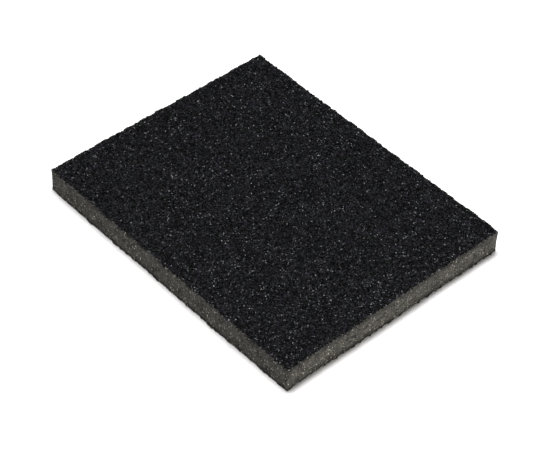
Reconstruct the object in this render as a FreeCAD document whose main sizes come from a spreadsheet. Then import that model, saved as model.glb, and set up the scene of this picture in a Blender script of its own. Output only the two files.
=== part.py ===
"""Flat two-sided sanding sponge: a flexible foam pad with coarse abrasive bonded to both faces.

Seven bonded layers make the pad, listed in LAYERS from the bench upwards.  Each abrasive face is
three layers: a make coat of resin on the foam, the grains held in it, and a size coat over them.
Origin: centre of the bottom face.  +X is the length, +Y the width, +Z up.  Millimetres.
"""
import FreeCAD, Part
import os
import Sketcher
from FreeCAD import Placement, Rotation, Vector

# Driving dimensions, in millimetres.  Every size below is worked out from these.
DIMENSIONS = [
    ("pad_length", 125.0, "finished length of the pad, along X"),
    ("pad_width", 100.0, "finished width of the pad, along Y"),
    ("corner_radius", 0.5, "upright corners as the cutting die leaves them"),
    ("foam_thickness", 9.0, "open-cell foam between the two coated faces"),
    ("make_coat", 0.12, "resin spread on the foam, which holds the feet of the grains"),
    ("grain_layer", 0.33, "height of the coarse grains above the make coat"),
    ("size_coat", 0.05, "thin resin skin over the tips of the grains"),
]

# Sub-parts from the bottom face upwards, each with the sheet cell that holds its thickness.
LAYERS = [
    ("bottom_size_coat", "size_coat"),
    ("bottom_abrasive_grains", "grain_layer"),
    ("bottom_make_coat", "make_coat"),
    ("foam_core", "foam_thickness"),
    ("top_make_coat", "make_coat"),
    ("top_abrasive_grains", "grain_layer"),
    ("top_size_coat", "size_coat"),
]

SHEET = "Sizes"

# How a sketch constraint names the ends of a line, and the sketch's own origin.
LINE_START, LINE_END = 1, 2
SKETCH_ORIGIN = (-1, 1)


def make_sheet(doc):
    """Spreadsheet of the driving dimensions, one alias per row."""
    sheet = doc.addObject("Spreadsheet::Sheet", SHEET)
    for row, (alias, value, meaning) in enumerate(DIMENSIONS, start=1):
        sheet.set(f"A{row}", alias)
        sheet.set(f"B{row}", str(value))
        sheet.set(f"C{row}", meaning)
        sheet.setAlias(f"B{row}", alias)
    doc.recompute()
    return sheet


def cell(alias):
    """Expression that reads one dimension from the sheet."""
    return f"{SHEET}.{alias}"


def origin_plane(body, role):
    """One of the body's own origin planes, found by its role."""
    return next(plane for plane in body.Origin.OriginFeatures if plane.Role == role)


def outline_sketch(body, name, sheet):
    """Rectangle centred on the body's origin, fully constrained, its size bound to the sheet."""
    sketch = body.newObject("Sketcher::SketchObject", name)
    sketch.AttachmentSupport = [(origin_plane(body, "XY_Plane"), "")]
    sketch.MapMode = "FlatFace"

    half_length = sheet.get("pad_length") / 2
    half_width = sheet.get("pad_width") / 2
    corners = [
        Vector(-half_length, -half_width),
        Vector(half_length, -half_width),
        Vector(half_length, half_width),
        Vector(-half_length, half_width),
    ]
    for start, end in zip(corners, corners[1:] + corners[:1]):
        sketch.addGeometry(Part.LineSegment(start, end))

    front, right, back, left = range(4)
    for line, following in ((front, right), (right, back), (back, left), (left, front)):
        joined = Sketcher.Constraint("Coincident", line, LINE_END, following, LINE_START)
        sketch.addConstraint(joined)
    for line in (front, back):
        sketch.addConstraint(Sketcher.Constraint("Horizontal", line))
    for line in (right, left):
        sketch.addConstraint(Sketcher.Constraint("Vertical", line))
    centred = Sketcher.Constraint("Symmetric", front, LINE_START, back, LINE_START, *SKETCH_ORIGIN)
    sketch.addConstraint(centred)

    for line, size, alias in (
        (front, 2 * half_length, "pad_length"),
        (right, 2 * half_width, "pad_width"),
    ):
        distance = sketch.addConstraint(Sketcher.Constraint("Distance", line, size))
        sketch.renameConstraint(distance, alias)
        sketch.setExpression(f"Constraints.{alias}", cell(alias))
    return sketch


def upright_edges(shape):
    """Names of the four corner edges, the only ones that climb."""
    return [
        f"Edge{number}"
        for number, edge in enumerate(shape.Edges, start=1)
        if edge.BoundBox.ZLength > edge.BoundBox.DiagonalLength / 2
    ]


def layer_body(doc, sheet, name, thickness, layers_below):
    """One bonded layer: the outline padded to its thickness, with the corners eased."""
    body = doc.addObject("PartDesign::Body", name)
    body.Label = name
    body.Placement = Placement(Vector(0, 0, 0), Rotation())

    sketch = outline_sketch(body, f"{name}_outline", sheet)
    pad = body.newObject("PartDesign::Pad", f"{name}_slab")
    pad.Profile = sketch
    pad.setExpression("Length", cell(thickness))
    doc.recompute()

    corners = body.newObject("PartDesign::Fillet", f"{name}_corners")
    corners.Base = (pad, upright_edges(pad.Shape))
    corners.setExpression("Radius", cell("corner_radius"))
    body.Tip = corners

    if layers_below:
        height = " + ".join(cell(alias) for alias in layers_below)
        body.setExpression(".Placement.Base.z", height)
    return body


def build_layers(doc, sheet):
    """All seven layers, each standing on the one below."""
    bodies = []
    layers_below = []
    for name, thickness in LAYERS:
        bodies.append(layer_body(doc, sheet, name, thickness, layers_below))
        layers_below.append(thickness)
    doc.recompute()
    return bodies


def check_document(doc, bodies):
    """Stop if any feature failed or any layer isn't one valid solid."""
    for item in doc.Objects:
        for trouble in ("Invalid", "Error"):
            if trouble in item.State:
                raise RuntimeError(f"{item.Name} is {trouble}")
    for body in bodies:
        shape = body.Shape
        if shape.isNull() or not shape.isValid() or len(shape.Solids) != 1:
            raise RuntimeError(f"{body.Label} isn't one valid solid")


def write_parts(bodies):
    """One STEP file per sub-part, named by its label."""
    os.makedirs("parts", exist_ok=True)
    for body in bodies:
        body.Shape.exportStep(f"parts/{body.Label}.step")


def main():
    doc = FreeCAD.newDocument("sanding_sponge")
    sheet = make_sheet(doc)
    bodies = build_layers(doc, sheet)
    check_document(doc, bodies)
    for body in bodies:
        box = body.Shape.BoundBox
        print(f"{body.Label}: z {box.ZMin:.2f} to {box.ZMax:.2f}, {body.Shape.Volume:.0f} mm3")
    write_parts(bodies)


main()
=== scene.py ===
"""Flat two-sided sanding sponge: cut foam between two faces of coarse black grit.

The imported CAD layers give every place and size, and one mesh stands for each of them:
  foam_core         the open-cell slab, with its torn cells showing on the four cut sides
  make coats        per face, the resin on the foam, which runs down the cut edge in drips
  abrasive grains   per face, the coarse grains that stand proud of the resin
  size coats        per face, the resin skin over the smaller grains
Lengths are in metres, in the frame's own axes: X along the pad, Y across it, Z up.
"""
import math

import bpy
import numpy as np
from mathutils import Matrix, Vector


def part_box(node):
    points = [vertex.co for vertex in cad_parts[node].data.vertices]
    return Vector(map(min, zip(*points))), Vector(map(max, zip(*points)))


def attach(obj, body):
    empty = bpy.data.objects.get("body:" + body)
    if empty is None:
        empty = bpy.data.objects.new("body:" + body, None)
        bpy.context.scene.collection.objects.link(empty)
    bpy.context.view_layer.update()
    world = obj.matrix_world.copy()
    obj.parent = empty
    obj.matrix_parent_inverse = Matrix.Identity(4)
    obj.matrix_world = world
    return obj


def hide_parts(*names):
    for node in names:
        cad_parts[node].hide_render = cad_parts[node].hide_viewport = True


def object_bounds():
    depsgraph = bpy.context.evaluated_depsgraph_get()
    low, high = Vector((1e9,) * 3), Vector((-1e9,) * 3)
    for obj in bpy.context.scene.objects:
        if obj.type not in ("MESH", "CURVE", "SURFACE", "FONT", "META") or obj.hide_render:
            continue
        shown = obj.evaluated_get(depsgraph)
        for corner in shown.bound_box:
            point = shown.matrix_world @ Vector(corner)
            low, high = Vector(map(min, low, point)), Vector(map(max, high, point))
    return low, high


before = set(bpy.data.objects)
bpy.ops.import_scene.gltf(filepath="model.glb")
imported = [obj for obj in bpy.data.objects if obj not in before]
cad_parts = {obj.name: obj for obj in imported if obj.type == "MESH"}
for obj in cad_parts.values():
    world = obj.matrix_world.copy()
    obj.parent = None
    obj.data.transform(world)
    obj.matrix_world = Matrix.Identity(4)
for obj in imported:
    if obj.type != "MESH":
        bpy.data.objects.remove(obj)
CAD_LOW, CAD_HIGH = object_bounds()

MM = 0.001
FOAM_LOW, FOAM_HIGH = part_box("foam_core")
HALF_SIZE = np.array([FOAM_HIGH.x, FOAM_HIGH.y])
PAD_LENGTH, PAD_WIDTH = 2 * HALF_SIZE
COAT = CAD_HIGH.z - FOAM_HIGH.z
CORNER_RADIUS = 0.5 * MM


# ---------------------------------------------------------------- pieces and noise

def add_piece(name, points, faces, materials, replaced, flat=True):
    """A mesh piece that rides on the pad and stands for the CAD nodes it replaces."""
    mesh = bpy.data.meshes.new(name)
    mesh.from_pydata(points, [], faces, shade_flat=flat)
    mesh.validate()
    for material in materials:
        mesh.materials.append(material)
    piece = bpy.data.objects.new(name, mesh)
    bpy.context.scene.collection.objects.link(piece)
    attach(piece, "root")
    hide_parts(*replaced)
    return piece


def assign_second(piece, share, rng):
    """Gives a random share of the piece's facets its second material."""
    facets = piece.data.polygons
    facets.foreach_set("material_index", (rng.random(len(facets)) < share).astype(np.int32))


# Cells each way before smooth_noise repeats.  No surface here is that many cells long.
LATTICE = 509


def smooth_noise(points, cell, rng):
    """Noise from -1 to 1 at 2-D points, with lumps about one cell across."""
    lattice = rng.uniform(-1, 1, (LATTICE, LATTICE))
    place = points / cell
    corner = np.floor(place).astype(int)
    across, up = (place - corner).T
    across = across * across * (3 - 2 * across)
    up = up * up * (3 - 2 * up)
    column, row = (corner % LATTICE).T
    next_column, next_row = (column + 1) % LATTICE, (row + 1) % LATTICE
    near = lattice[column, row] * (1 - across) + lattice[next_column, row] * across
    far = lattice[column, next_row] * (1 - across) + lattice[next_column, next_row] * across
    return near * (1 - up) + far * up


def cell_distances(points, cell, rng):
    """Distances from 2-D points to the nearest and next nearest of one random centre per cell."""
    place = (points - points.min(axis=0)) / cell + 1
    corner = np.floor(place).astype(int)
    columns, rows = corner.max(axis=0) + 2
    centres = rng.uniform(0, 1, (columns, rows, 2))
    distances = []
    for column_step in (-1, 0, 1):
        for row_step in (-1, 0, 1):
            neighbour = corner + (column_step, row_step)
            centre = neighbour + centres[neighbour[:, 0], neighbour[:, 1]]
            distances.append(np.linalg.norm(place - centre, axis=1))
    nearest = np.partition(np.array(distances), 1, axis=0)
    return nearest[0], nearest[1]


# ---------------------------------------------------------------- outline and edge wear

# The cut's waviness: wavelength, how far it strays, and phase in radians.
CUT_WAVES = (
    (63 * MM, 0.08 * MM, 0.4),
    (29 * MM, 0.05 * MM, 2.1),
    (11 * MM, 0.03 * MM, 4.4),
    (4.7 * MM, 0.02 * MM, 1.3),
)
# Noise that says where a coat wears: size of its lumps, and strength.
WEAR_NOISE = (
    (3.6 * MM, 0.9),
    (1.1 * MM, 1.2),
    (0.5 * MM, 0.5),
)
# How far in from the edge the coat is moved, and how far back or out at most, by side:
# 1 is the top and -1 the bottom.
WEAR_REACH = 2.4 * MM
WORN_BACK = {1: 0.85 * MM, -1: 0.22 * MM}
SPREAD = {1: 0.06 * MM, -1: 0.32 * MM}
# The top's front corner is rubbed back further.
RUBBED_CORNER = HALF_SIZE * (1, -1)
RUBBED_REACH = 3.0 * MM
RUBBED_BACK = 1.0 * MM


def cut_offset(outline):
    """How far the die's cut strays outwards at points of the outline, alike in every layer."""
    along = outline[:, 0] - outline[:, 1]
    offset = np.zeros(len(outline))
    for wavelength, stray, phase in CUT_WAVES:
        offset += stray * np.sin(2 * math.pi * along / wavelength + phase)
    return offset


def round_corners(points):
    """Pulls 2-D points that lie past the pad's corner arcs back onto them."""
    past = np.abs(points) - (HALF_SIZE - CORNER_RADIUS)
    reach = np.linalg.norm(past, axis=1)
    outside = (past > 0).all(axis=1) & (reach > CORNER_RADIUS)
    rounded = points.copy()
    scale = (CORNER_RADIUS / reach[outside])[:, None]
    corner = HALF_SIZE - CORNER_RADIUS
    rounded[outside] = np.sign(points[outside]) * (corner + past[outside] * scale)
    return rounded


def outward(points):
    """Outward direction of the rounded rectangle at 2-D points on or near its outline."""
    past = np.abs(points) - (HALF_SIZE - CORNER_RADIUS)
    at_corner = (past > 0).all(axis=1)
    to_edge = np.abs(points) - HALF_SIZE
    along_x = to_edge[:, 0] > to_edge[:, 1]
    direction = np.where(along_x[:, None], (1.0, 0.0), (0.0, 1.0))
    direction[at_corner] = past[at_corner]
    direction /= np.linalg.norm(direction, axis=1)[:, None]
    return direction * np.sign(points)


def edge_wear(points, seed):
    """From -1, where the coat has worn back from the edge, to 1, where resin ran over it."""
    rng = np.random.default_rng(seed)
    wear = np.zeros(len(points))
    for lump, strength in WEAR_NOISE:
        wear += strength * smooth_noise(points, lump, rng)
    return np.clip(wear, -1, 1)


def worn(points, side, seed):
    """Moves 2-D points near the edge as the coat wears back or spreads there."""
    to_edge = (HALF_SIZE - np.abs(points)).min(axis=1)
    nearness = np.clip(1 - to_edge / WEAR_REACH, 0, 1)
    wear = edge_wear(points, seed)
    shift = np.where(wear < 0, WORN_BACK[side] * wear, SPREAD[side] * wear) + cut_offset(points)
    if side > 0:
        from_corner = np.linalg.norm(points - RUBBED_CORNER, axis=1)
        shift -= RUBBED_BACK * np.clip(1 - from_corner / RUBBED_REACH, 0, 1)
    return points + outward(points) * (shift * nearness)[:, None]


# ---------------------------------------------------------------- triangles

def grid_triangles(columns, rows, rng, closed=False):
    """Two triangles per cell of a grid of points numbered row by row, split along either diagonal.

    A closed grid joins its last column to its first.
    """
    steps = columns if closed else columns - 1
    column, row = np.meshgrid(np.arange(steps), np.arange(rows - 1))
    column, row = column.ravel(), row.ravel()
    after = (column + 1) % columns
    a = row * columns + column
    b = row * columns + after
    c = (row + 1) * columns + after
    d = (row + 1) * columns + column
    rising = rng.random(len(a)) < 0.5
    first = np.where(rising[:, None], np.stack([a, b, c], 1), np.stack([a, b, d], 1))
    second = np.where(rising[:, None], np.stack([a, c, d], 1), np.stack([b, c, d], 1))
    return np.concatenate([first, second])


def ring_fan(ring, centre):
    """Triangles from each step of a closed ring of points to one centre point."""
    return np.stack([ring, np.roll(ring, -1), np.full(len(ring), centre)], 1)


def ring_band(upper, lower):
    """Triangles that join two closed rings of as many points, one above the other."""
    ahead_upper, ahead_lower = np.roll(upper, -1), np.roll(lower, -1)
    first = np.stack([upper, lower, ahead_lower], 1)
    second = np.stack([upper, ahead_lower, ahead_upper], 1)
    return np.concatenate([first, second])


# ---------------------------------------------------------------- foam

FOAM_SEED = 11
FOAM_STEP = 0.222 * MM
FOAM_JITTER = 0.35                  # share of a step that a point may stray each way
FOAM_CELL = 0.62 * MM
FOAM_CELL_DEPTH = 0.24 * MM
FOAM_CELL_RIM = 0.35                # share of a cell over which its wall slopes in
FOAM_CELL_ROUGH = (0.75, 1.1)       # range of each point's share of the depth
TORN_DEEP, TORN_VARIES = 0.75, 0.25  # share of the depth that cells keep, and how far it varies
TORN_LUMP = 2.1 * MM
FOAM_UNEVEN = 0.05 * MM
FOAM_UNEVEN_LUMP = 1.3 * MM
FOAM_BOW = 0.10 * MM                # how far the sides pull in between the two faces
# Point attribute with each point's share of the cell depth; the foam material paints shade into the
# pits by it.
PIT = "pit"


def side_loop(step):
    """Points a step apart round the outline, counter-clockwise from above."""
    straight = HALF_SIZE - CORNER_RADIUS
    turns = max(2, round(CORNER_RADIUS * math.pi / 2 / step))
    points = []
    for corner, (x_sign, y_sign) in enumerate(((1, 1), (-1, 1), (-1, -1), (1, -1))):
        centre = straight * (x_sign, y_sign)
        angle = math.pi / 2 * (corner + np.arange(turns + 1) / turns)
        arc = centre + CORNER_RADIUS * np.stack([np.cos(angle), np.sin(angle)], 1)
        length = 2 * straight[corner % 2]
        count = round(length / step)
        forwards = np.array([-math.sin(angle[-1]), math.cos(angle[-1])])
        run = arc[-1] + forwards * (length * np.arange(1, count) / count)[:, None]
        points += [arc, run]
    return np.concatenate(points)


def foam_piece(material):
    """The foam slab: closed, with open cells cut through on its four sides."""
    rng = np.random.default_rng(FOAM_SEED)
    loop = side_loop(FOAM_STEP)
    columns = len(loop)
    thickness = FOAM_HIGH.z - FOAM_LOW.z
    rows = round(thickness / FOAM_STEP) + 1

    column = np.tile(np.arange(columns), rows)
    height = np.repeat(np.linspace(0, thickness, rows), columns)
    inner_row = (height > 0) & (height < thickness)
    height += inner_row * rng.uniform(-FOAM_JITTER, FOAM_JITTER, len(height)) * FOAM_STEP
    slide = inner_row * rng.uniform(-FOAM_JITTER, FOAM_JITTER, len(height)) * FOAM_STEP

    base = loop[column]
    direction = outward(base)
    sideways = np.stack([-direction[:, 1], direction[:, 0]], 1)
    on_side = np.stack([column * FOAM_STEP + slide, height], 1)
    nearest, second = cell_distances(on_side, FOAM_CELL, rng)
    openness = np.clip((second - nearest) / FOAM_CELL_RIM, 0, 1)
    torn = TORN_DEEP + TORN_VARIES * smooth_noise(on_side, TORN_LUMP, rng)
    relief = -FOAM_CELL_DEPTH * openness * torn * rng.uniform(*FOAM_CELL_ROUGH, len(base))
    relief += FOAM_UNEVEN * smooth_noise(on_side, FOAM_UNEVEN_LUMP, rng)
    bow = -FOAM_BOW * np.sin(math.pi * height / thickness)
    push = cut_offset(base) + relief + bow
    flat = base + direction * push[:, None] + sideways * slide[:, None]

    points = np.column_stack([flat, FOAM_LOW.z + height])
    foot, head = len(points), len(points) + 1
    points = np.vstack([points, (0, 0, FOAM_LOW.z), (0, 0, FOAM_HIGH.z)])
    sides = grid_triangles(columns, rows, rng, closed=True)
    bottom_ring = np.arange(columns)
    top_ring = bottom_ring + (rows - 1) * columns
    faces = np.concatenate([sides, ring_fan(bottom_ring[::-1], foot), ring_fan(top_ring, head)])
    piece = add_piece("foam_core_foam", points, faces, [material], ["foam_core"], flat=False)
    pit = piece.data.attributes.new(PIT, "FLOAT", "POINT")
    pit.data.foreach_set("value", np.append(openness * torn, (0, 0)))
    return piece


# ---------------------------------------------------------------- resin coats

BED_STEP = 0.372 * MM
BED_JITTER = 0.45                   # share of a step that a point may stray each way
BED_LOW, BED_HIGH = 0.25, 0.80      # range of the bed's height, as shares of the coat
BED_SPREAD = (1.3, 1.5)             # beta distribution of heights within that range
CLUMP_STRENGTH = 0.10
CLUMP_LUMP = 2.6 * MM
RIM_HEIGHT = 0.85                   # share of its height that the bed keeps at its rim
RAGGED = 0.07 * MM
BULGE_HEIGHT = 0.3 * COAT           # where the two coats meet at the edge
LIP_HEIGHT = 0.15 * COAT            # underside of the size coat, and top of the make coat
LIP_INSET = 0.2 * MM
DRIP = {1: 0.45 * MM, -1: 0.12 * MM}  # longest drip down the cut edge, by side
DRIP_VARIES = (0.5, 1.3)
DRIP_OUT = 0.03 * MM
TUCK = 1.2 * MM                     # how far in the make coat's underside starts
SUNK = 0.02 * MM                    # how deep it lies in the foam
WET_SHARE = 0.07                    # share of facets that set glossy


def bed_height(points, rng):
    """Height of the bed over the foam at 2-D points: resin hollows and the tips of small grains."""
    clumps = CLUMP_STRENGTH * smooth_noise(points, CLUMP_LUMP, rng)
    share = np.clip(rng.beta(*BED_SPREAD, len(points)) + clumps, 0, 1)
    return COAT * (BED_LOW + (BED_HIGH - BED_LOW) * share)


def ring_at(places, height):
    """3-D points over or under 2-D places, at one height or a height each."""
    return np.column_stack([places, np.broadcast_to(height, len(places))])


def rim_of(columns, rows):
    """Indices of a grid's outer points in order, counter-clockwise."""
    south = np.arange(columns)
    east = np.arange(1, rows) * columns + columns - 1
    north = (rows - 1) * columns + np.arange(columns - 2, -1, -1)
    west = np.arange(rows - 2, 0, -1) * columns
    return np.concatenate([south, east, north, west])


def coat_pieces(face, side, foam_face, materials, seed):
    """The two resin coats of one face.  side is 1 for the top and -1 for the bottom.

    The make coat lies on the foam and runs down the cut edge in drips.  The size coat covers the
    small grains that stand in it.
    """
    rng = np.random.default_rng(seed)
    columns, rows = (np.round(2 * HALF_SIZE / BED_STEP) + 1).astype(int)
    across = np.linspace(-HALF_SIZE[0], HALF_SIZE[0], columns)
    up = np.linspace(-HALF_SIZE[1], HALF_SIZE[1], rows)
    flat = np.stack([grid.ravel() for grid in np.meshgrid(across, up)], 1)
    rim = rim_of(columns, rows)
    inside = np.ones(len(flat), bool)
    inside[rim] = False
    flat[inside] += rng.uniform(-BED_JITTER, BED_JITTER, (inside.sum(), 2)) * BED_STEP
    flat = round_corners(flat)
    height = bed_height(flat, rng)
    height[rim] *= RIM_HEIGHT

    edge = flat[rim]
    direction = outward(edge)
    run_down = edge_wear(edge, seed) * rng.uniform(*DRIP_VARIES, len(rim))
    run_down = np.clip(run_down, 0, 1) * DRIP[side]
    flat = worn(flat, side, seed)
    ragged_edge = flat[rim] + direction * rng.uniform(-1, 1, (len(rim), 1)) * RAGGED
    bulge = flat[rim] + direction * rng.uniform(0, 1, (len(rim), 1)) * RAGGED
    drip = flat[rim] + direction * DRIP_OUT
    lip = flat[rim] - direction * LIP_INSET
    tucked = edge - direction * TUCK
    flat[rim] = ragged_edge

    bulge_ring = ring_at(bulge, BULGE_HEIGHT)
    size_points = [np.column_stack([flat, height]), bulge_ring, [(0, 0, LIP_HEIGHT)]]
    under = len(flat) + np.arange(len(rim))
    size_faces = [
        grid_triangles(columns, rows, rng),
        ring_band(rim, under),
        ring_fan(under[::-1], under[-1] + 1),
    ]

    make_points = [
        ring_at(lip, LIP_HEIGHT), bulge_ring, ring_at(drip, -run_down), ring_at(tucked, -SUNK),
        [(0, 0, LIP_HEIGHT), (0, 0, -SUNK)],
    ]
    rings = np.arange(4 * len(rim)).reshape(4, len(rim))
    make_faces = [ring_band(upper, lower) for upper, lower in zip(rings, rings[1:])]
    make_faces += [ring_fan(rings[0], rings.size), ring_fan(rings[-1][::-1], rings.size + 1)]

    for coat, points, faces in (
        ("size_coat", np.vstack(size_points), np.concatenate(size_faces)),
        ("make_coat", np.vstack(make_points), np.concatenate(make_faces)),
    ):
        points[:, 2] = foam_face + side * points[:, 2]
        node = f"{face}_{coat}"
        piece = add_piece(f"{node}_resin", points, faces[:, ::side], materials, [node])
        assign_second(piece, WET_SHARE, rng)


# ---------------------------------------------------------------- coarse grit

GRAIN_SIZE = 0.25 * MM              # typical radius
GRAINS_PER_FACE = 24000
GRAIN_VARIES = (0.7, 1.35)          # range of whole grains, as shares of that radius
SPOKE_VARIES = (0.65, 1.25)         # range of the corners of one grain
SPOKE_STRAY = 0.18                  # how far a corner strays along each axis, as such a share
FLATTENED = (0.7, 1.2)              # range of the stretch along each axis of a grain
TIP_HEIGHT = (0.72, 1.0)            # range of the tips, as shares of the coat
CLEAN_SHARE = 0.10                  # share of facets that the size coat doesn't dull
OCTAHEDRON_POINTS = np.array(
    [(1, 0, 0), (-1, 0, 0), (0, 1, 0), (0, -1, 0), (0, 0, 1), (0, 0, -1)], float)
OCTAHEDRON_FACES = np.array(
    [(0, 2, 4), (2, 1, 4), (1, 3, 4), (3, 0, 4), (2, 0, 5), (1, 2, 5), (3, 1, 5), (0, 3, 5)])


def random_turns(count, rng):
    """Rotation matrices spread evenly over every direction."""
    w, x, y, z = np.moveaxis(rng.normal(size=(count, 4)), 1, 0)
    length = np.sqrt(w * w + x * x + y * y + z * z)
    w, x, y, z = w / length, x / length, y / length, z / length
    rows = [
        [1 - 2 * (y * y + z * z), 2 * (x * y - w * z), 2 * (x * z + w * y)],
        [2 * (x * y + w * z), 1 - 2 * (x * x + z * z), 2 * (y * z - w * x)],
        [2 * (x * z - w * y), 2 * (y * z + w * x), 1 - 2 * (x * x + y * y)],
    ]
    return np.moveaxis(np.array(rows), 2, 0)


def scatter(count, rng):
    """About that many 2-D places over a face, one per cell of a jittered grid."""
    step = math.sqrt(4 * HALF_SIZE.prod() / count)
    columns, rows = np.round(2 * HALF_SIZE / step).astype(int)
    cells = np.stack([grid.ravel() for grid in np.meshgrid(np.arange(columns), np.arange(rows))], 1)
    share = (cells + rng.uniform(0, 1, cells.shape)) / (columns, rows)
    return (2 * share - 1) * HALF_SIZE


def grit_piece(face, side, foam_face, materials, coat_seed):
    """The coarse grains that stand proud of the resin on one face."""
    rng = np.random.default_rng(coat_seed + 1)
    places = worn(round_corners(scatter(GRAINS_PER_FACE, rng)), side, coat_seed)
    count = len(places)
    size = GRAIN_SIZE * rng.uniform(*GRAIN_VARIES, count)
    corners = len(OCTAHEDRON_POINTS)
    spokes = OCTAHEDRON_POINTS * rng.uniform(*SPOKE_VARIES, (count, corners, 1))
    spokes += rng.uniform(-SPOKE_STRAY, SPOKE_STRAY, (count, corners, 3))
    spokes *= rng.uniform(*FLATTENED, (count, 1, 3))
    spokes *= size[:, None, None]
    spokes = np.einsum("nij,npj->npi", random_turns(count, rng), spokes)
    reach = spokes[:, :, 2].max(axis=1)
    tip = COAT * rng.uniform(*TIP_HEIGHT, count)
    centres = np.column_stack([places, tip - reach])
    points = (centres[:, None, :] + spokes).reshape(-1, 3)
    points[:, 2] = foam_face + side * points[:, 2]
    first = (np.arange(count) * corners)[:, None, None]
    faces = (first + OCTAHEDRON_FACES).reshape(-1, 3)
    node = f"{face}_abrasive_grains"
    piece = add_piece(f"{node}_grit", points, faces[:, ::side], materials, [node])
    assign_second(piece, CLEAN_SHARE, rng)


# ---------------------------------------------------------------- material nodes

class Tree:
    """A material's node tree, with short ways to add the nodes used here."""

    def __init__(self, name):
        self.material = bpy.data.materials.new(name)
        self.material.use_nodes = True
        self.nodes = self.material.node_tree.nodes
        self.links = self.material.node_tree.links
        self.shader = self.nodes["Principled BSDF"]
        self.place = self.add("ShaderNodeTexCoord").outputs["Object"]
        split = self.add("ShaderNodeSeparateXYZ")
        self.fill(split.inputs["Vector"], self.place)
        self.x, self.y, self.z = split.outputs

    def add(self, kind, **settings):
        """A new node of a kind, with some of its own settings."""
        node = self.nodes.new(kind)
        for setting, value in settings.items():
            setattr(node, setting, value)
        return node

    def fill(self, socket, value):
        """Links an output to a socket, or sets a plain value on it."""
        if isinstance(value, bpy.types.NodeSocket):
            self.links.new(value, socket)
        else:
            socket.default_value = value

    def noise(self, size, detail=3.0, roughness=0.6):
        """Noise with lumps of a size in metres."""
        node = self.add("ShaderNodeTexNoise")
        self.fill(node.inputs["Vector"], self.place)
        self.fill(node.inputs["Scale"], 1 / size)
        self.fill(node.inputs["Detail"], detail)
        self.fill(node.inputs["Roughness"], roughness)
        return node.outputs["Fac"]

    def warp(self, lumps, stray):
        """Strays the textures added after it by noise, by up to about a stray each way."""
        noise = self.add("ShaderNodeTexNoise")
        self.fill(noise.inputs["Vector"], self.place)
        self.fill(noise.inputs["Scale"], 1 / lumps)
        moved = self.add("ShaderNodeVectorMath", operation="MULTIPLY_ADD")
        self.fill(moved.inputs[0], noise.outputs["Color"])
        self.fill(moved.inputs[1], (4 * stray,) * 3)
        self.fill(moved.inputs[2], self.place)
        self.place = moved.outputs["Vector"]

    def cells(self, size, feature="F1", output="Distance"):
        """Random cells of a size in metres."""
        node = self.add("ShaderNodeTexVoronoi", feature=feature)
        self.fill(node.inputs["Vector"], self.place)
        self.fill(node.inputs["Scale"], 1 / size)
        return node.outputs[output]

    def cell_randoms(self, size):
        """Two random numbers from 0 to 1 that stay the same across each cell."""
        split = self.add("ShaderNodeSeparateColor")
        self.fill(split.inputs["Color"], self.cells(size, output="Color"))
        return split.outputs["Red"], split.outputs["Blue"]

    def remap(self, value, low, high, to_low=0.0, to_high=1.0):
        """Stretches low..high to another range, held at its ends."""
        node = self.add("ShaderNodeMapRange")
        self.fill(node.inputs["Value"], value)
        for socket, number in zip(
            ("From Min", "From Max", "To Min", "To Max"), (low, high, to_low, to_high)
        ):
            self.fill(node.inputs[socket], number)
        return node.outputs["Result"]

    def maths(self, operation, first, second):
        """One sum on two values."""
        node = self.add("ShaderNodeMath", operation=operation)
        self.fill(node.inputs[0], first)
        self.fill(node.inputs[1], second)
        return node.outputs[0]

    def gap(self, coordinate, low, high):
        """Distance in from the nearer of two ends of an axis, in metres."""
        from_middle = self.maths("ABSOLUTE", self.maths("SUBTRACT", coordinate, (low + high) / 2), 0.0)
        return self.maths("SUBTRACT", (high - low) / 2, from_middle)

    def from_ends(self):
        """Distance in from the nearer end of the pad, in metres."""
        return self.gap(self.x, -HALF_SIZE[0], HALF_SIZE[0])

    def from_sides(self):
        """Distance in from the nearer long side of the pad, in metres."""
        return self.gap(self.y, -HALF_SIZE[1], HALF_SIZE[1])

    def from_outline(self):
        """Distance in from the pad's outline, in metres."""
        return self.maths("MINIMUM", self.from_ends(), self.from_sides())

    def above_foam(self):
        """Share of the coat's thickness that lies under the point."""
        return self.maths("MULTIPLY", self.gap(self.z, FOAM_LOW.z, FOAM_HIGH.z), -1 / COAT)

    def strayed(self, distance, lumps, stray):
        """A distance in metres made uneven by noise, by up to about a stray either way."""
        wander = self.remap(self.noise(lumps, detail=2.0), 0.3, 0.7, -stray, stray)
        return self.maths("ADD", distance, wander)

    def mix(self, share, first, second):
        """Blends two colours by a share from 0 to 1."""
        node = self.add("ShaderNodeMix", data_type="RGBA")
        self.fill(node.inputs["Factor"], share)
        colour_a, colour_b = [s for s in node.inputs if s.type == "RGBA"]
        self.fill(colour_a, first)
        self.fill(colour_b, second)
        return next(s for s in node.outputs if s.type == "RGBA")

    def bump(self, height, depth, normal=None):
        """Bump whose full height is a depth in metres."""
        node = self.add("ShaderNodeBump")
        self.fill(node.inputs["Strength"], 1.0)
        self.fill(node.inputs["Distance"], depth)
        self.fill(node.inputs["Height"], height)
        if normal is not None:
            self.fill(node.inputs["Normal"], normal)
        return node.outputs["Normal"]

    def finish(self, colour, roughness, normal, **plain):
        """Feeds the shader and gives back the material."""
        self.fill(self.shader.inputs["Base Color"], colour)
        self.fill(self.shader.inputs["Roughness"], roughness)
        self.fill(self.shader.inputs["Normal"], normal)
        for socket, value in plain.items():
            self.fill(self.shader.inputs[socket.replace("_", " ")], value)
        return self.material


def grey(level, tint=(1, 1, 1)):
    """A colour of one brightness, leaning to a tint."""
    return (level * tint[0], level * tint[1], level * tint[2], 1.0)


# ---------------------------------------------------------------- foam material

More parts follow.
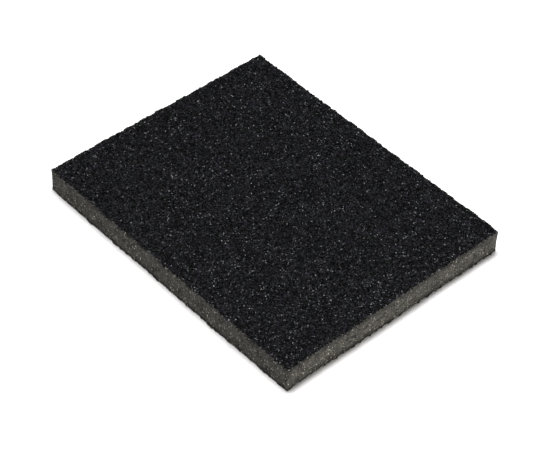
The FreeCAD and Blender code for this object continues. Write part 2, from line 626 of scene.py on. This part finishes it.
FOAM_TINT = (1.055, 1.0, 0.90)
OLIVE = (1.0, 1.0, 0.84)
WALL_DARK, WALL_PALE = 0.021, 0.138
OLIVE_LEVEL = 0.070
# Darkest foam colour: painted shade in the open cells and pits, and the colour that resin stain and
# painted shade near the faces go to.
SHADE_AND_STAIN_LEVEL = 0.006
PAINTED_GLINT_ON_SIDES, PAINTED_GLINT_ON_ENDS = 0.66, 0.48    # closed cells painted bright as glints, by the cut side that they are on; brighter on the long sides, which get less light
WINDOW = 0.42 * MM                          # width of the cells drawn on the cut sides
SIDE_STAIN_AND_SHADE, END_STAIN_AND_SHADE = 0.7 * MM, 1.9 * MM    # how far from a face resin stain and painted shade darken the foam; further on the ends, where it is painted shade
FOOT_STAIN_AND_SHADE = 0.8                             # shrinks that distance at the foot, so the stain and painted shade reach further there
STAIN_AND_SHADE_STRAY = 0.5 * MM


def foam_material():
    """Taupe cut foam: pale walls round open cells painted dark as shade, a few closed cells painted
    bright as glints, and resin stain with painted shade near both faces.
    """
    tree = Tree("foam")
    pit = tree.add("ShaderNodeAttribute", attribute_name=PIT).outputs["Fac"]
    blotches = tree.noise(3.5 * MM, detail=2.0)
    mottle = tree.noise(0.9 * MM, detail=4.0, roughness=0.75)
    tone = tree.maths("ADD", mottle, tree.remap(blotches, 0.3, 0.7, -0.12, 0.12))
    dark_wall, pale_wall = grey(WALL_DARK, FOAM_TINT), grey(WALL_PALE, FOAM_TINT)
    walls = tree.mix(tree.remap(tone, 0.36, 0.64), dark_wall, pale_wall)
    olive = tree.mix(tree.remap(blotches, 0.4, 0.7, 0.0, 0.8), walls, grey(OLIVE_LEVEL, OLIVE))
    tree.warp(0.5 * MM, 0.07 * MM)
    inside = tree.remap(tree.cells(WINDOW, "DISTANCE_TO_EDGE"), 0.02, 0.26)
    depth, glint_pick = tree.cell_randoms(WINDOW)
    # Painted shade: the drawn open cells and the mesh's pits are darkened as if shade falls in them.
    painted_cell_shade = tree.maths("MULTIPLY", inside, tree.remap(depth, 0.1, 0.8, 0.35, 1.0))
    painted_hollow_shade = tree.maths("MAXIMUM", painted_cell_shade, tree.remap(pit, 0.4, 1.0, 0.0, 0.5))
    walls_with_painted_shade = tree.mix(painted_hollow_shade, olive, grey(SHADE_AND_STAIN_LEVEL, FOAM_TINT))
    # Resin stain and painted shade darken the foam near both faces, more at the foot and further in on
    # the ends.
    from_top = tree.maths("SUBTRACT", FOAM_HIGH.z, tree.z)
    from_foot = tree.maths("MULTIPLY", tree.maths("SUBTRACT", tree.z, FOAM_LOW.z), FOOT_STAIN_AND_SHADE)
    edge = tree.strayed(tree.maths("MINIMUM", from_top, from_foot), 0.8 * MM, STAIN_AND_SHADE_STRAY)
    on_end = tree.maths("LESS_THAN", tree.from_ends(), tree.from_sides())
    stain_and_shade_reach = tree.remap(on_end, 0.0, 1.0, SIDE_STAIN_AND_SHADE, END_STAIN_AND_SHADE)
    stain_and_shade = tree.remap(edge, 0.2 * MM, stain_and_shade_reach, 0.75, 0.0)
    stained_and_shaded = tree.mix(stain_and_shade, walls_with_painted_shade, grey(SHADE_AND_STAIN_LEVEL))
    # Painted highlight: a few closed cells are painted bright as glints that catch the light.
    glint_share = tree.maths("POWER", tree.remap(glint_pick, 0.78, 1.0), 2.5)
    painted_glint_cell = tree.maths("MULTIPLY", inside, glint_share)
    painted_glint = tree.mix(on_end, grey(PAINTED_GLINT_ON_SIDES, FOAM_TINT), grey(PAINTED_GLINT_ON_ENDS, FOAM_TINT))
    colour = tree.mix(painted_glint_cell, stained_and_shaded, painted_glint)
    roughness = tree.remap(painted_glint_cell, 0.0, 1.0, 0.9, 0.45)
    normal = tree.bump(mottle, 0.12 * MM, tree.bump(inside, -0.12 * MM))
    return tree.finish(colour, roughness, normal, Specular_IOR_Level=0.3)


# ---------------------------------------------------------------- resin and grit materials

SLATE = (0.89, 1.00, 1.04)
VIOLET = (0.99, 0.93, 1.25)
GLINT = (0.93, 0.93, 1.0, 1.0)
BLACK = 0.0002
PALE_RESIN, PALE_GRIT = 0.025, 0.026
STAIN_DARK, STAIN_PALE = 0.014, 0.085       # bare foam edge, stained by the resin
BARE_FROM, BARE_TO = 0.10 * MM, 0.45 * MM   # the bare edge fades out between these, going inwards
BARE_STRAY = 0.55 * MM
SMALL_GRAIN = 0.5 * MM


def iridescent(tree, level):
    """The colour of black silicon carbide, which drifts from slate to violet over a few millimetres."""
    drift = tree.remap(tree.noise(5.0 * MM, detail=2.0), 0.40, 0.60)
    return tree.mix(drift, grey(level, SLATE), grey(level, VIOLET))


def resin_material():
    """Black resin over small grains, painted darker low in the bed as shade in the hollows, and rubbed
    bare along the edge.
    """
    tree = Tree("resin")
    fine = tree.noise(0.22 * MM, detail=3.0)
    pools = tree.noise(1.6 * MM, detail=2.0)
    small_grain = tree.remap(tree.cells(SMALL_GRAIN, output="Color"), 0.32, 0.78)
    # Painted shade: lower in the bed the resin is painted darker, as shade in the hollows between the
    # small grains.
    tips = tree.remap(tree.above_foam(), 0.35, 0.75)
    pale = tree.maths("MULTIPLY", small_grain, tips)
    black = tree.mix(pale, grey(BLACK, SLATE), iridescent(tree, PALE_RESIN))
    inwards = tree.strayed(tree.from_outline(), 0.9 * MM, BARE_STRAY)
    bare = tree.remap(inwards, BARE_FROM, BARE_TO, 1.0, 0.0)
    dark_stain, pale_stain = grey(STAIN_DARK, FOAM_TINT), grey(STAIN_PALE, FOAM_TINT)
    stain = tree.mix(tree.remap(fine, 0.35, 0.65), dark_stain, pale_stain)
    colour = tree.mix(bare, black, stain)
    roughness = tree.remap(pools, 0.35, 0.65, 0.45, 0.65)
    normal = tree.bump(fine, 0.05 * MM)
    return tree.finish(colour, roughness, normal, Specular_IOR_Level=0.03)


def wet_resin_material():
    """The same resin where it pooled and set glossy."""
    tree = Tree("wet resin")
    fine = tree.noise(0.22 * MM, detail=3.0)
    colour = tree.mix(fine, grey(0.0005, SLATE), grey(0.004, SLATE))
    roughness = tree.remap(fine, 0.3, 0.7, 0.34, 0.5)
    normal = tree.bump(fine, 0.02 * MM)
    return tree.finish(colour, roughness, normal, Specular_IOR_Level=0.5, Specular_Tint=GLINT)


def grit_material():
    """Black crystal under the size coat, each grain with its own tone and dullness."""
    tree = Tree("grit")
    grain = tree.add("ShaderNodeNewGeometry").outputs["Random Per Island"]
    fine = tree.noise(0.12 * MM, detail=2.0)
    pale = tree.maths("POWER", grain, 2.5)
    colour = tree.mix(pale, grey(BLACK, SLATE), iridescent(tree, PALE_GRIT))
    roughness = tree.remap(grain, 0.0, 1.0, 0.55, 0.3)
    normal = tree.bump(fine, 0.015 * MM)
    return tree.finish(colour, roughness, normal, Specular_IOR_Level=0.08)


def clean_grit_material():
    """Freshly broken crystal facets that the size coat doesn't dull."""
    tree = Tree("clean grit")
    fine = tree.noise(0.10 * MM, detail=1.0)
    colour = tree.mix(fine, grey(0.001, SLATE), grey(0.006, SLATE))
    roughness = tree.remap(fine, 0.3, 0.7, 0.30, 0.48)
    normal = tree.bump(fine, 0.006 * MM)
    return tree.finish(colour, roughness, normal, Specular_IOR_Level=0.62, Specular_Tint=GLINT)


# ---------------------------------------------------------------- stage, lights and camera

SENSOR_WIDTH = 36.0                 # of the camera, and its lens, both in millimetres
LENS = 128.8
CAMERA_AZIMUTH, CAMERA_ELEVATION, CAMERA_ROLL = 45.74, 44.63, 2.91
CAMERA_DISTANCE = 5.579 * PAD_LENGTH
CAMERA_TARGET = (0.0217 * PAD_LENGTH, -0.0077 * PAD_WIDTH, CAD_LOW.z)
WARM = (1.0, 0.95, 0.88)
ROOM_COLOUR = (1.0, 0.99, 0.98, 1.0)
ROOM_STRENGTH = 0.14
FLOOR_RADIUS = 3.4 * PAD_LENGTH
FLOOR_SIDES = 96
PAPER_DARK, PAPER_PALE = 0.86, 0.9


def aimed(position, target, roll=0.0):
    """Rotation that looks from a position to a target, turned about the line of sight."""
    turn = (Vector(target) - Vector(position)).to_track_quat("-Z", "Y")
    return (turn.to_matrix() @ Matrix.Rotation(math.radians(roll), 3, "Z")).to_euler()


def around(target, azimuth, elevation, distance):
    """Point at a bearing from the target.  Azimuth 0 is on the -Y side, and 90 on the +X side."""
    a, e = math.radians(azimuth), math.radians(elevation)
    away = Vector((math.sin(a) * math.cos(e), -math.cos(a) * math.cos(e), math.sin(e)))
    return Vector(target) + away * distance


def make_camera():
    """Long lens over the pad's front corner, between its +X and -Y sides, rolled a little."""
    lens = bpy.data.cameras.new("camera")
    lens.sensor_width = SENSOR_WIDTH
    lens.lens = LENS
    lens.clip_start = 10 * MM
    camera = bpy.data.objects.new("camera", lens)
    camera.location = around(CAMERA_TARGET, CAMERA_AZIMUTH, CAMERA_ELEVATION, CAMERA_DISTANCE)
    camera.rotation_euler = aimed(camera.location, CAMERA_TARGET, CAMERA_ROLL)
    bpy.context.scene.collection.objects.link(camera)
    bpy.context.scene.camera = camera


def make_light(name, azimuth, elevation, distance, size, power, colour=(1, 1, 1)):
    """A rectangular softbox that faces the middle of the pad and isn't seen itself."""
    lamp = bpy.data.lights.new(name, "AREA")
    lamp.shape = "RECTANGLE"
    lamp.size, lamp.size_y = size
    lamp.energy = power
    lamp.color = colour
    light = bpy.data.objects.new(name, lamp)
    light.location = around((0, 0, 0), azimuth, elevation, distance)
    light.rotation_euler = aimed(light.location, (0, 0, 0))
    light.visible_camera = False
    bpy.context.scene.collection.objects.link(light)


def make_world():
    """Dim room light, with a pale backdrop where the camera sees past the floor."""
    world = bpy.data.worlds.new("studio")
    bpy.context.scene.world = world
    world.use_nodes = True
    nodes, links = world.node_tree.nodes, world.node_tree.links
    room = nodes["Background"]
    room.inputs["Color"].default_value = ROOM_COLOUR
    room.inputs["Strength"].default_value = ROOM_STRENGTH
    backdrop = nodes.new("ShaderNodeBackground")
    backdrop.inputs["Color"].default_value = (1.0, 1.0, 1.0, 1.0)
    seen = nodes.new("ShaderNodeLightPath").outputs["Is Camera Ray"]
    choice = nodes.new("ShaderNodeMixShader")
    links.new(seen, choice.inputs["Fac"])
    links.new(room.outputs[0], choice.inputs[1])
    links.new(backdrop.outputs[0], choice.inputs[2])
    links.new(choice.outputs[0], nodes["World Output"].inputs["Surface"])


def make_floor():
    """Round white table under the pad, no wider than the lights keep white."""
    angles = np.linspace(0, 2 * math.pi, FLOOR_SIDES, endpoint=False)
    rim = [(FLOOR_RADIUS * math.cos(a), FLOOR_RADIUS * math.sin(a), CAD_LOW.z) for a in angles]
    mesh = bpy.data.meshes.new("floor")
    mesh.from_pydata(rim, [], [range(len(rim))])
    floor = bpy.data.objects.new("floor", mesh)
    tree = Tree("floor")
    paper = tree.noise(0.4 * MM)
    colour = tree.mix(paper, grey(PAPER_DARK), grey(PAPER_PALE))
    normal = tree.bump(paper, 0.01 * MM)
    mesh.materials.append(tree.finish(colour, 0.8, normal, Specular_IOR_Level=0.2))
    bpy.context.scene.collection.objects.link(floor)


def make_stage():
    """The floor, the room, two softboxes and the camera."""
    bpy.context.scene.view_settings.view_transform = "Standard"
    make_world()
    make_floor()
    make_light("key", azimuth=-107, elevation=82.7, distance=0.9, size=(0.5, 0.30), power=13.5)
    make_light(
        "fill", azimuth=85, elevation=7, distance=0.7, size=(0.5, 0.12), power=4.05, colour=WARM)
    make_camera()


# ---------------------------------------------------------------- the pad

TOP_SEED, BOTTOM_SEED = 21, 31


def make_pad():
    """The seven pieces, with the materials that the two faces share."""
    foam = foam_material()
    resin = [resin_material(), wet_resin_material()]
    grit = [grit_material(), clean_grit_material()]
    foam_piece(foam)
    for face, side, foam_face, seed in (
        ("top", 1, FOAM_HIGH.z, TOP_SEED),
        ("bottom", -1, FOAM_LOW.z, BOTTOM_SEED),
    ):
        coat_pieces(face, side, foam_face, resin, seed)
        grit_piece(face, side, foam_face, grit, seed)


make_stage()
make_pad()
